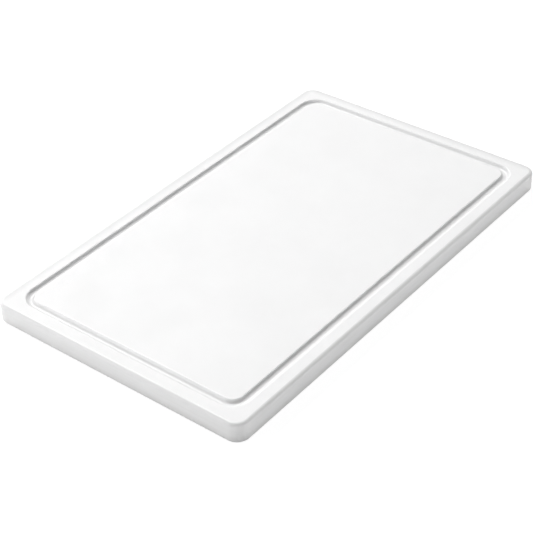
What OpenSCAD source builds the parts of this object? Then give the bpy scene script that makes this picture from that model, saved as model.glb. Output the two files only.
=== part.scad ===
// Cutting board: one slab of thick white plastic with rounded edges and a juice groove
// milled into its top face. The origin is at the middle of the underside, X runs along the
// board, Y across it, and Z is up.

/* [Board] */
// Length of the board
board_l = 500; // [400:10:600]
// Width of the board
board_w = 300; // [220:10:400]
// Thickness of the board
board_t = 22; // [15:1:30]
// Radius of the four upright corners, seen from above
corner_r = 14; // [8:1:25]
// Radius that the top and bottom edges are rounded to
edge_r = 3.5; // [1:0.5:5]

/* [Juice groove] */
// Distance from the board's side to the middle line of the groove
groove_line = 20; // [18:1:40]
// Diameter of the round-nosed cutter that mills the groove
cutter_d = 10; // [6:1:16]
// Depth of the groove below the top face, as a share of the cutter's radius
groove_sink = 0.7; // [0.3:0.05:0.9]
// Radius of the groove's middle line where it turns a corner
turn_r = 16; // [14:1:40]

/* [Quality] */
// Number of steps in a full circle
$fn = 96; // [48:8:192]

/* [Hidden] */

cutter_r = cutter_d / 2;
groove_depth = cutter_r * groove_sink;

// Height of the cutter's middle, which stays its own radius above the floor of the groove.
cutter_z = board_t - groove_depth + cutter_r;

// Middles of the groove's four corner turns, from the board's middle.
turn_x = board_l / 2 - groove_line - turn_r;
turn_y = board_w / 2 - groove_line - turn_r;

// Middles of the four upright corners, from the board's middle.
corner_x = board_l / 2 - corner_r;
corner_y = board_w / 2 - corner_r;

// The quadrants in turn, each as its sign along X and Y and the angle at which it starts.
quadrants = [[1, 1, 0], [-1, 1, 90], [-1, -1, 180], [1, -1, 270]];

// Upright half-section of the board's rim, from a corner's middle out to the side, with the
// top and bottom edges rounded.
module rim_section() {
    square([corner_r - edge_r, board_t]);
    translate([0, edge_r])
        square([corner_r, board_t - 2 * edge_r]);
    for (z = [edge_r, board_t - edge_r])
        translate([corner_r - edge_r, z])
            circle(r = edge_r);
}

// A straight length of rim along Y, its inner face at X = 0 and the side facing +X.
module rim_run(length) {
    translate([0, length / 2, 0])
        rotate([90, 0, 0])
            linear_extrude(height = length)
                rim_section();
}

// The slab before milling: a flat middle, four straight rims and four turned corners, which
// all meet face to face.
module slab() {
    translate([-corner_x, -corner_y, 0])
        cube([2 * corner_x, 2 * corner_y, board_t]);
    for (side = [0, 180]) {
        rotate([0, 0, side])
            translate([corner_x, 0, 0])
                rim_run(2 * corner_y);
        rotate([0, 0, side + 90])
            translate([corner_y, 0, 0])
                rim_run(2 * corner_x);
    }
    for (q = quadrants)
        translate([q[0] * corner_x, q[1] * corner_y, 0])
            rotate([0, 0, q[2]])
                rotate_extrude(angle = 90)
                    rim_section();
}

// A straight pass of the cutter along Y through the origin.
module straight_pass(length) {
    rotate([90, 0, 0])
        cylinder(r = cutter_r, h = length, center = true);
}

// The closed path that the cutter takes round the board: four straight passes and four turns.
module groove_cut() {
    translate([0, 0, cutter_z]) {
        for (side = [-1, 1]) {
            translate([side * (turn_x + turn_r), 0, 0])
                straight_pass(2 * turn_y);
            translate([0, side * (turn_y + turn_r), 0])
                rotate([0, 0, 90])
                    straight_pass(2 * turn_x);
        }
        for (q = quadrants)
            translate([q[0] * turn_x, q[1] * turn_y, 0])
                rotate([0, 0, q[2]])
                    rotate_extrude(angle = 90)
                        translate([turn_r, 0])
                            circle(r = cutter_r);
    }
}

// The whole board, cut from one sheet.
module board() {
    color("white")
        difference() {
            slab();
            groove_cut();
        }
}

board();
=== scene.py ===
import math

import bmesh
import bpy
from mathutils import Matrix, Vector


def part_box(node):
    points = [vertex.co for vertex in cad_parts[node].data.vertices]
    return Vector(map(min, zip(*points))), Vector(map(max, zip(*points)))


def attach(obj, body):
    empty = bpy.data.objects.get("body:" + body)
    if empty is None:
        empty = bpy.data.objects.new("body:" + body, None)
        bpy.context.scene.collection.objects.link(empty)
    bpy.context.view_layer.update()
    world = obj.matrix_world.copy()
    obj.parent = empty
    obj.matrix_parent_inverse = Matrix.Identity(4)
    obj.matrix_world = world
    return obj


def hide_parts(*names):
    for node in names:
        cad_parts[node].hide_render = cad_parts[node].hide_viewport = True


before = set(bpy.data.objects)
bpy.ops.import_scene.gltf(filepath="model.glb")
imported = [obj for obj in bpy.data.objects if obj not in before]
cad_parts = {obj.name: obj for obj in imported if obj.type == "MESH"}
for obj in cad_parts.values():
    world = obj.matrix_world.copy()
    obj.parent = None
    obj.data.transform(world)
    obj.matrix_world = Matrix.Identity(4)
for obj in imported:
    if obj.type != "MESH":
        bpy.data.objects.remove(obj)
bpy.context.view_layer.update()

# The board is one slab of white polyethylene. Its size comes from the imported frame, and the
# finer shapes that the frame gives no figure for are named here, in metres.
MM = 0.001
BOX_LOW, BOX_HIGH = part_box("board")
SIZE = BOX_HIGH - BOX_LOW
MIDDLE = (BOX_LOW + BOX_HIGH) / 2
TOP = BOX_HIGH.z
UNDER = BOX_LOW.z

CORNER_R = 14 * MM      # upright corners, seen from above
EDGE_R = 3.5 * MM       # rounding of the top and bottom edges
GROOVE_LINE = 20 * MM   # from the side to the middle line of the groove
CUTTER_R = 5 * MM       # round-nosed cutter that milled the groove
GROOVE_DEPTH = 3.5 * MM
TURN_R = 16 * MM        # middle line of the groove at its corners
LIP_R = 0.35 * MM       # easing of the groove's two lips

# How finely the mesh is divided.
ARC_STEPS = 16          # round an upright corner
LONG_STEPS = 64         # along a long side
SHORT_STEPS = 38        # along a short side
EDGE_STEPS = 10         # over a rounded edge
SIDE_STEPS = 6          # up the flat of a side
GROOVE_STEPS = 24       # from the groove's floor to its lip
LIP_STEPS = 4           # over an eased lip
SUPPORT = 0.4 * MM      # from a curve's end to the ring that keeps the flat beside it flat
WELD = 0.001 * MM       # points nearer than this are one

QUADRANTS = ((1, 1), (-1, 1), (-1, -1), (1, -1))  # signs of X and Y at the four corners
FACE, GROOVE, EDGE = 0, 1, 2  # material of a strip of the mesh
PATH_MAP = "path"             # UV map: metres round the board, metres across its section


# ---------------------------------------------------------------- the board's mesh

def wall_tilt():
    """Tilt of the groove's wall where it meets the top face."""
    return math.acos(1 - GROOVE_DEPTH / CUTTER_R)


def lip_offset():
    """From the groove's middle line to where the eased lip runs out into the top face."""
    return CUTTER_R * math.sin(wall_tilt()) + LIP_R * math.tan(wall_tilt() / 2)


def groove_section():
    """Points over the groove as (offset from its middle line, height), inner side first."""
    tilt = wall_tilt()
    outer = []
    for step in range(GROOVE_STEPS):
        a = tilt * step / GROOVE_STEPS
        rise = CUTTER_R * (1 - math.cos(a))
        outer.append((CUTTER_R * math.sin(a), TOP - GROOVE_DEPTH + rise))
    for step in range(LIP_STEPS + 1):
        a = tilt * (1 - step / LIP_STEPS)
        outer.append((lip_offset() - LIP_R * math.sin(a), TOP - LIP_R * (1 - math.cos(a))))
    inner = [(-offset, z) for offset, z in reversed(outer[1:])]
    return inner + outer


def corner_arc(middle_x, middle_y, turn, index):
    """Points round one corner. Corner 0 is at +X +Y and the others follow anticlockwise."""
    middle = Vector((middle_x * QUADRANTS[index][0], middle_y * QUADRANTS[index][1], 0))
    angles = [math.pi / 2 * (index + step / ARC_STEPS) for step in range(ARC_STEPS + 1)]
    return [middle + turn * Vector((math.cos(a), math.sin(a), 0)) for a in angles]


def ring(half_x, half_y, turn, z):
    """Points round a rounded rectangle, anticlockwise from the end of the +X side."""
    points = []
    count = len(QUADRANTS)
    arcs = [corner_arc(half_x - turn, half_y - turn, turn, index) for index in range(count)]
    for index, arc in enumerate(arcs):
        begin = arc[-1]
        end = arcs[(index + 1) % count][0]
        steps = LONG_STEPS if index % 2 == 0 else SHORT_STEPS
        points += arc
        points += [begin.lerp(end, step / steps) for step in range(1, steps)]
    return [Vector((MIDDLE.x + p.x, MIDDLE.y + p.y, z)) for p in points]


def inset_ring(inset, z):
    """A ring that keeps to the board's own corners."""
    return ring(SIZE.x / 2 - inset, SIZE.y / 2 - inset, CORNER_R - inset, z)


def groove_ring(offset, z):
    """A ring that keeps to the groove's own turns, offset outward from its middle line."""
    inset = GROOVE_LINE - offset
    return ring(SIZE.x / 2 - inset, SIZE.y / 2 - inset, TURN_R + offset, z)


def edge_rings(level, down):
    """Rings over a rounded edge, from the flat face at this level out to the side."""
    rings = []
    for step in range(EDGE_STEPS + 1):
        a = math.pi / 2 * step / EDGE_STEPS
        inset = EDGE_R * (1 - math.sin(a))
        rings.append(inset_ring(inset, level - down * EDGE_R * (1 - math.cos(a))))
    return rings


def side_rings():
    """Rings down the flat of the side, between its rounded edges."""
    low, high = UNDER + EDGE_R, TOP - EDGE_R
    levels = [high + (low - high) * step / SIDE_STEPS for step in range(1, SIDE_STEPS)]
    levels = [high - SUPPORT] + levels + [low + SUPPORT]
    return [inset_ring(0, z) for z in levels]


def board_rings():
    """Every ring from the middle of the top face to the middle of the underside, with the
    material of the strip that leads to it."""
    rings = [(groove_ring(-TURN_R, TOP), FACE),
             (groove_ring(-lip_offset() - SUPPORT, TOP), FACE)]
    rings += [(groove_ring(offset, z), GROOVE) for offset, z in groove_section()]
    rings += [(groove_ring(lip_offset() + SUPPORT, TOP), FACE),
              (inset_ring(EDGE_R + SUPPORT, TOP), FACE)]
    rings += [(points, EDGE) for points in edge_rings(TOP, 1)]
    rings += [(points, EDGE) for points in side_rings()]
    rings += [(points, EDGE) for points in reversed(edge_rings(UNDER, -1))]
    rings += [(inset_ring(EDGE_R + SUPPORT, UNDER), FACE),
              (inset_ring(CORNER_R, UNDER), FACE)]
    return rings


def path_lengths():
    """Metres along the groove's middle line to each point of a ring, and back to the first."""
    points = groove_ring(0, TOP)
    lengths = [0]
    for here, after in zip(points, points[1:] + points[:1]):
        lengths.append(lengths[-1] + (after - here).length)
    return lengths


def add_strip(mesh, first, second, along, across, material):
    """Faces between two rings, with the distances along and across them as UVs."""
    path = mesh.loops.layers.uv[PATH_MAP]
    for i in range(len(first)):
        k = (i + 1) % len(first)
        face = mesh.faces.new((first[i], second[i], second[k], first[k]))
        face.material_index = material
        ends = ((along[i], across[0]), (along[i], across[1]),
                (along[i + 1], across[1]), (along[i + 1], across[0]))
        for loop, place in zip(face.loops, ends):
            loop[path].uv = place


def add_grid(mesh, half_x, half_y, z, upward):
    """The flat field inside the innermost ring, as an even grid."""
    rows = []
    for j in range(SHORT_STEPS + 1):
        y = MIDDLE.y + half_y * (2 * j / SHORT_STEPS - 1)
        rows.append([mesh.verts.new((MIDDLE.x + half_x * (2 * i / LONG_STEPS - 1), y, z))
                     for i in range(LONG_STEPS + 1)])
    for near, far in zip(rows, rows[1:]):
        for i in range(LONG_STEPS):
            corners = [near[i], near[i + 1], far[i + 1], far[i]]
            face = mesh.faces.new(corners if upward else corners[::-1])
            face.material_index = FACE


def build_board():
    """One closed mesh: strips from ring to ring, and a grid inside the first and the last."""
    mesh = bmesh.new()
    mesh.loops.layers.uv.new(PATH_MAP)
    along = path_lengths()
    across = 0
    previous = None
    for points, material in board_rings():
        current = [mesh.verts.new(p) for p in points]
        if previous:
            width = (current[0].co - previous[0].co).length
            add_strip(mesh, previous, current, along, (across, across + width), material)
            across += width
        previous = current
    inset = GROOVE_LINE + TURN_R
    add_grid(mesh, SIZE.x / 2 - inset, SIZE.y / 2 - inset, TOP, True)
    add_grid(mesh, SIZE.x / 2 - CORNER_R, SIZE.y / 2 - CORNER_R, UNDER, False)
    bmesh.ops.remove_doubles(mesh, verts=mesh.verts, dist=WELD)
    bmesh.ops.dissolve_degenerate(mesh, dist=WELD / 2, edges=mesh.edges)
    bmesh.ops.recalc_face_normals(mesh, faces=mesh.faces)
    for face in mesh.faces:
        face.smooth = True
    data = bpy.data.meshes.new("cutting_board")
    mesh.to_mesh(data)
    mesh.free()
    piece = bpy.data.objects.new("cutting_board", data)
    bpy.context.scene.collection.objects.link(piece)
    return piece


# ---------------------------------------------------------------- materials

IOR = 1.53              # of polyethylene
SCATTER = 1.2 * MM      # how far light spreads inside the plastic

# Share of light that each surface sends back, from its dullest patch to its cleanest.
FACE_WHITE = (0.908, 0.924)
GROOVE_WHITE = (0.855, 0.885)
EDGE_WHITE = (0.775, 0.82)
PAINTED_RIM_SHADE = 0.85        # painted shade: share of its white that the face keeps at its rims at +X and +Y
PAINTED_RIM_FADE = 11 * MM      # from the side to where the painted rim shade ends and the face has all its white
PAINTED_FOOT_SHADOW = 0.86       # painted contact shadow: share of its white that the side keeps at its foot
PAINTED_FOOT_FADE = 9 * MM      # from the underside to where the painted foot shadow ends and the side has all its white
MARK_SHARE = 0.5        # share of the groove's shading that follows the cutter's marks
LINE_SHARE = 0.6        # share of the edge's shading that follows the router's lines

# Roughness of each surface, from its dullest patch to its smoothest, and of its marks.
FACE_ROUGH = (0.70, 0.62)
SCUFF_ROUGH = 0.45
GROOVE_ROUGH = (0.44, 0.36)
MARK_ROUGH = 0.48
EDGE_ROUGH = (0.52, 0.42)
WORN_ROUGH = 0.46       # the rounded top edge, which handling has worn even

# Size and depth of the relief.
CLOUD_SIZE = 38 * MM    # broad patches of slightly duller plastic
GRAIN_SIZE = 0.8 * MM   # pebbling of the planed sheet
GRAIN_DEPTH = 0.09 * MM
SCUFF_LENGTH = 45 * MM  # hairline marks of cleaning and handling
SCUFF_WIDTH = 0.5 * MM
SCUFF_DEPTH = 0.05 * MM
SCUFF_TURNS = (0.35, -0.9)  # turns of the noise, in radians, for the scuffs' two ways
FEED = 1.2 * MM         # spacing of the marks that the turning cutter left
FEED_DEPTH = 0.035 * MM
FEED_WANDER = 0.6       # how unevenly the marks are spaced, as the wave texture's distortion
LINE_LENGTH = 90 * MM   # fine lines that the router left along the edge
LINE_WIDTH = 1.1 * MM
LINE_DEPTH = 0.09 * MM

NOISE_SPAN = (0.3, 0.7)     # limits that noise mostly keeps to
SHADE_SPAN = (0.2, 0.8)     # limits that an even mix of noise and a wave mostly keeps to
SCUFF_SPAN = (0.66, 0.74)   # noise over which a scuff begins, and over which it is full
WHOLE_SPAN = (0, 1)
WAVE_RADIANS = 20           # how far the wave texture turns over one unit, at scale 1


def feed(tree, socket, value):
    """Link another socket to this one, or give it a plain value."""
    if isinstance(value, bpy.types.NodeSocket):
        tree.links.new(value, socket)
    else:
        socket.default_value = value


def add_node(tree, kind, **inputs):
    """A new node with its inputs fed. An underscore in an input's name stands for a space."""
    node = tree.nodes.new("ShaderNode" + kind)
    for name, value in inputs.items():
        feed(tree, node.inputs[name.replace("_", " ")], value)
    return node


def add_math(tree, operation, first, second):
    """The result of a sum or a comparison of two numbers."""
    node = tree.nodes.new("ShaderNodeMath")
    node.operation = operation
    for socket, value in zip(node.inputs, (first, second)):
        feed(tree, socket, value)
    return node.outputs["Value"]


def add_range(tree, value, span, results):
    """The value, spread from the two ends of its span to two results and kept between them."""
    spread = add_node(tree, "MapRange", Value=value, From_Min=span[0], From_Max=span[1],
                      To_Min=results[0], To_Max=results[1])
    return spread.outputs["Result"]


def add_mix(tree, share, first, second):
    """The number that lies this share of the way from the first to the second."""
    return add_range(tree, share, WHOLE_SPAN, (first, second))


def add_noise(tree, place, sizes, turn=0, detail=2):
    """Noise whose spots have these sizes along X, Y and Z, turned about Z, from 0 to 1."""
    turned = add_node(tree, "Mapping", Vector=place, Rotation=(0, 0, turn))
    scaled = add_node(tree, "Mapping", Vector=turned.outputs["Vector"],
                      Scale=[1 / size for size in sizes])
    noise = add_node(tree, "TexNoise", Vector=scaled.outputs["Vector"], Scale=1, Detail=detail)
    return noise.outputs["Fac"]


def add_marks(tree, path):
    """Even marks across the path of a cutter, a whole number of them round the board."""
    length = path_lengths()[-1]
    pitch = length / round(length / FEED)
    wave = add_node(tree, "TexWave", Vector=path, Scale=math.tau / WAVE_RADIANS / pitch,
                    Distortion=FEED_WANDER, Detail=1, Detail_Scale=2)
    return wave.outputs["Fac"]


def add_scuffs(tree, place):
    """Sparse hairline marks that run two ways, from 0 beside a mark to 1 in it."""
    ways = []
    for turn in SCUFF_TURNS:
        lines = add_noise(tree, place, (SCUFF_LENGTH, SCUFF_WIDTH, SCUFF_LENGTH), turn)
        ways.append(add_range(tree, lines, SCUFF_SPAN, WHOLE_SPAN))
    return add_math(tree, "MAXIMUM", *ways)


def add_bump(tree, height, depth, **below):
    """Relief of this depth in metres, on top of the Normal given, if any."""
    bump = add_node(tree, "Bump", Height=height, Distance=depth, Strength=1, **below)
    return bump.outputs["Normal"]


def add_place(tree):
    """Place on the board, in metres."""
    return tree.nodes.new("ShaderNodeTexCoord").outputs["Object"]


def add_axes(tree, place):
    """The place's X, Y and Z."""
    return add_node(tree, "SeparateXYZ", Vector=place).outputs


def add_path(tree):
    """Metres round the board, and metres across its section."""
    path = tree.nodes.new("ShaderNodeUVMap")
    path.uv_map = PATH_MAP
    return path.outputs["UV"]


def add_painted_rim_shade(tree, place):
    """Painted shade: share of its white that a level face keeps, which falls towards the sides
    at +X and +Y.
    """
    axes = add_axes(tree, place)
    from_right = add_math(tree, "SUBTRACT", BOX_HIGH.x, axes["X"])
    from_back = add_math(tree, "SUBTRACT", BOX_HIGH.y, axes["Y"])
    nearer = add_math(tree, "MINIMUM", from_right, from_back)
    return add_range(tree, nearer, (EDGE_R, PAINTED_RIM_FADE), (PAINTED_RIM_SHADE, 1))


def new_plastic(name):
    """White polyethylene, before its colour, roughness and relief are linked."""
    material = bpy.data.materials.new(name)
    material.use_nodes = True
    shader = material.node_tree.nodes["Principled BSDF"]
    shader.inputs["IOR"].default_value = IOR
    shader.inputs["Subsurface Weight"].default_value = 1
    shader.inputs["Subsurface Radius"].default_value = (1, 1, 1)
    shader.inputs["Subsurface Scale"].default_value = SCATTER
    return material, material.node_tree


def link_surface(tree, white, rough, normal):
    """The shade of white, from a number to a grey, with the roughness and the relief."""
    shader = tree.nodes["Principled BSDF"]
    grey = add_node(tree, "CombineColor", Red=white, Green=white, Blue=white)
    feed(tree, shader.inputs["Base Color"], grey.outputs["Color"])
    feed(tree, shader.inputs["Roughness"], rough)
    feed(tree, shader.inputs["Normal"], normal)


def face_plastic():
    """The planed faces: a pebbled satin grain, faint clouding, a few hairline scuffs and painted
    shade along the rims at +X and +Y.
    """
    material, tree = new_plastic("board_face")
    place = add_place(tree)
    clouds = add_noise(tree, place, [CLOUD_SIZE] * 3)
    grain = add_noise(tree, place, [GRAIN_SIZE] * 3)
    scuffs = add_scuffs(tree, place)
    white = add_range(tree, clouds, NOISE_SPAN, FACE_WHITE)
    # painted shade: the face's white is darkened towards its rims at +X and +Y
    white = add_math(tree, "MULTIPLY", white, add_painted_rim_shade(tree, place))
    satin = add_range(tree, clouds, NOISE_SPAN, FACE_ROUGH)
    rough = add_mix(tree, scuffs, satin, SCUFF_ROUGH)
    grained = add_bump(tree, grain, GRAIN_DEPTH)
    normal = add_bump(tree, scuffs, -SCUFF_DEPTH, Normal=grained)
    link_surface(tree, white, rough, normal)
    return material


def groove_plastic():
    """The milled groove: marks of the cutter across its path, and a finer grain."""
    material, tree = new_plastic("board_groove")
    place = add_place(tree)
    clouds = add_noise(tree, place, [CLOUD_SIZE / 2] * 3)
    grain = add_noise(tree, place, [GRAIN_SIZE / 2] * 3)
    marks = add_marks(tree, add_path(tree))
    shade = add_mix(tree, MARK_SHARE, clouds, marks)
    white = add_range(tree, shade, SHADE_SPAN, GROOVE_WHITE)
    satin = add_range(tree, clouds, NOISE_SPAN, GROOVE_ROUGH)
    rough = add_mix(tree, marks, satin, MARK_ROUGH)
    grained = add_bump(tree, grain, GRAIN_DEPTH / 2)
    normal = add_bump(tree, marks, FEED_DEPTH, Normal=grained)
    link_surface(tree, white, rough, normal)
    return material


def edge_plastic():
    """The routed edge: lines along it, marks of the cutter across it, a painted shadow that
    darkens its foot, and a rounded top edge that handling has worn to one even roughness."""
    material, tree = new_plastic("board_edge")
    path = add_path(tree)
    height = add_axes(tree, add_place(tree))["Z"]
    clouds = add_noise(tree, path, (CLOUD_SIZE, CLOUD_SIZE / 4, 1))
    lines = add_noise(tree, path, (LINE_LENGTH, LINE_WIDTH, 1), detail=3)
    marks = add_marks(tree, path)
    streaks = add_mix(tree, LINE_SHARE, clouds, lines)
    white = add_range(tree, streaks, NOISE_SPAN, EDGE_WHITE)
    # painted contact shadow: the side's white darkens towards its foot
    foot = add_range(tree, height, (UNDER + EDGE_R / 2, UNDER + PAINTED_FOOT_FADE), (PAINTED_FOOT_SHADOW, 1))
    white = add_math(tree, "MULTIPLY", white, foot)
    wear = add_range(tree, height, (TOP - 1.5 * EDGE_R, TOP - EDGE_R / 2), WHOLE_SPAN)
    satin = add_range(tree, lines, NOISE_SPAN, EDGE_ROUGH)
    rough = add_mix(tree, wear, satin, WORN_ROUGH)
    lined = add_bump(tree, lines, LINE_DEPTH)
    normal = add_bump(tree, marks, FEED_DEPTH / 2, Normal=lined)
    link_surface(tree, white, rough, normal)
    return material


# ---------------------------------------------------------------- stage, lights and camera

# Each area light's direction from the origin, distance in metres, sides in metres and watts.
# The key is high, behind and to the right. Two low lights soften the sides that it misses.
LIGHTS = {
    "key": ((0.365, 0.585, 0.724), 7, (0.8, 0.8), 397),
    "left": ((-0.86, 0.50, 0.26), 2, (1.2, 0.5), 18),
    "front": ((0.10, -1.0, 0.10), 2, (1.6, 0.12), 12.5),
}
WORLD_LIGHT = 0.27      # strength of the even light from all round

STAGE_SIZE = 40         # side of the planes under the board, in metres
STAGE_ROUGH = 0.9
STAGE_SPECULAR = 0.1
FLOOR_DROP = 0.05 * MM  # how far the floor lies under the board, so that they never meet
FLOOR_SHADE = 0.25      # share of light that the floor sends back
FLOOR_GLOW = 0.9        # light of the floor's own
BOUNCE_SHADE = 0.8      # share of light that the plane lighting the sides sends back

CAMERA_AZIMUTH = -50.59     # degrees round from -Y
CAMERA_ELEVATION = 36.54
CAMERA_ROLL = -2.03
CAMERA_DISTANCE = 1.4925
CAMERA_AIM = Vector((-0.0310, -0.0066, 0))
CAMERA_LENS = 101.3         # millimetres, on a sensor 36 mm wide
CAMERA_SENSOR = 36


def add_plane(name, drop, shade, glow):
    """A wide level plane just under the board, as part of the stage."""
    bpy.ops.mesh.primitive_plane_add(size=STAGE_SIZE, location=(0, 0, UNDER - drop))
    plane = bpy.context.object
    plane.name = name
    material = bpy.data.materials.new(name)
    material.use_nodes = True
    shader = material.node_tree.nodes["Principled BSDF"]
    shader.inputs["Base Color"].default_value = (shade, shade, shade, 1)
    shader.inputs["Roughness"].default_value = STAGE_ROUGH
    shader.inputs["Specular IOR Level"].default_value = STAGE_SPECULAR
    shader.inputs["Emission Color"].default_value = (1, 1, 1, 1)
    shader.inputs["Emission Strength"].default_value = glow
    plane.data.materials.append(material)
    return plane


def add_floor():
    """The floor that the camera sees glows, so shadows on it are faint. The one that lights
    the board's sides is plain white and keeps its shadows."""
    floor = add_plane("floor", FLOOR_DROP, FLOOR_SHADE, FLOOR_GLOW)
    floor.visible_diffuse = False
    floor.visible_glossy = False
    floor.visible_shadow = False
    bounce = add_plane("floor_bounce", 2 * FLOOR_DROP, BOUNCE_SHADE, 0)
    bounce.visible_camera = False


def add_area_light(name, direction, distance, sides, power):
    """A rectangular light that faces the origin and that the camera can't see."""
    data = bpy.data.lights.new(name, "AREA")
    data.shape = "RECTANGLE"
    data.size, data.size_y = sides
    data.energy = power
    light = bpy.data.objects.new(name, data)
    light.location = Vector(direction).normalized() * distance
    light.rotation_euler = (-light.location).to_track_quat("-Z", "Y").to_euler()
    light.visible_camera = False
    bpy.context.scene.collection.objects.link(light)


def add_world():
    """Even white light from all round."""
    world = bpy.data.worlds.new("studio")
    bpy.context.scene.world = world
    world.use_nodes = True
    background = world.node_tree.nodes["Background"]
    background.inputs["Color"].default_value = (1, 1, 1, 1)
    background.inputs["Strength"].default_value = WORLD_LIGHT


def add_camera():
    """The camera, at the photograph's angle."""
    azimuth, elevation = math.radians(CAMERA_AZIMUTH), math.radians(CAMERA_ELEVATION)
    back = Vector((math.sin(azimuth) * math.cos(elevation),
                   -math.cos(azimuth) * math.cos(elevation),
                   math.sin(elevation)))
    data = bpy.data.cameras.new("camera")
    data.sensor_width = CAMERA_SENSOR
    data.lens = CAMERA_LENS
    camera = bpy.data.objects.new("camera", data)
    camera.location = CAMERA_AIM + back * CAMERA_DISTANCE
    camera.rotation_euler = (-back).to_track_quat("-Z", "Y").to_euler()
    camera.rotation_euler.rotate_axis("Z", math.radians(CAMERA_ROLL))
    bpy.context.scene.collection.objects.link(camera)
    bpy.context.scene.camera = camera


board = build_board()
for material in (face_plastic(), groove_plastic(), edge_plastic()):
    board.data.materials.append(material)
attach(board, "root")
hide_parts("board")

add_floor()
add_world()
for name, light in LIGHTS.items():
    add_area_light(name, *light)
add_camera()
bpy.context.scene.view_settings.view_transform = "Standard"
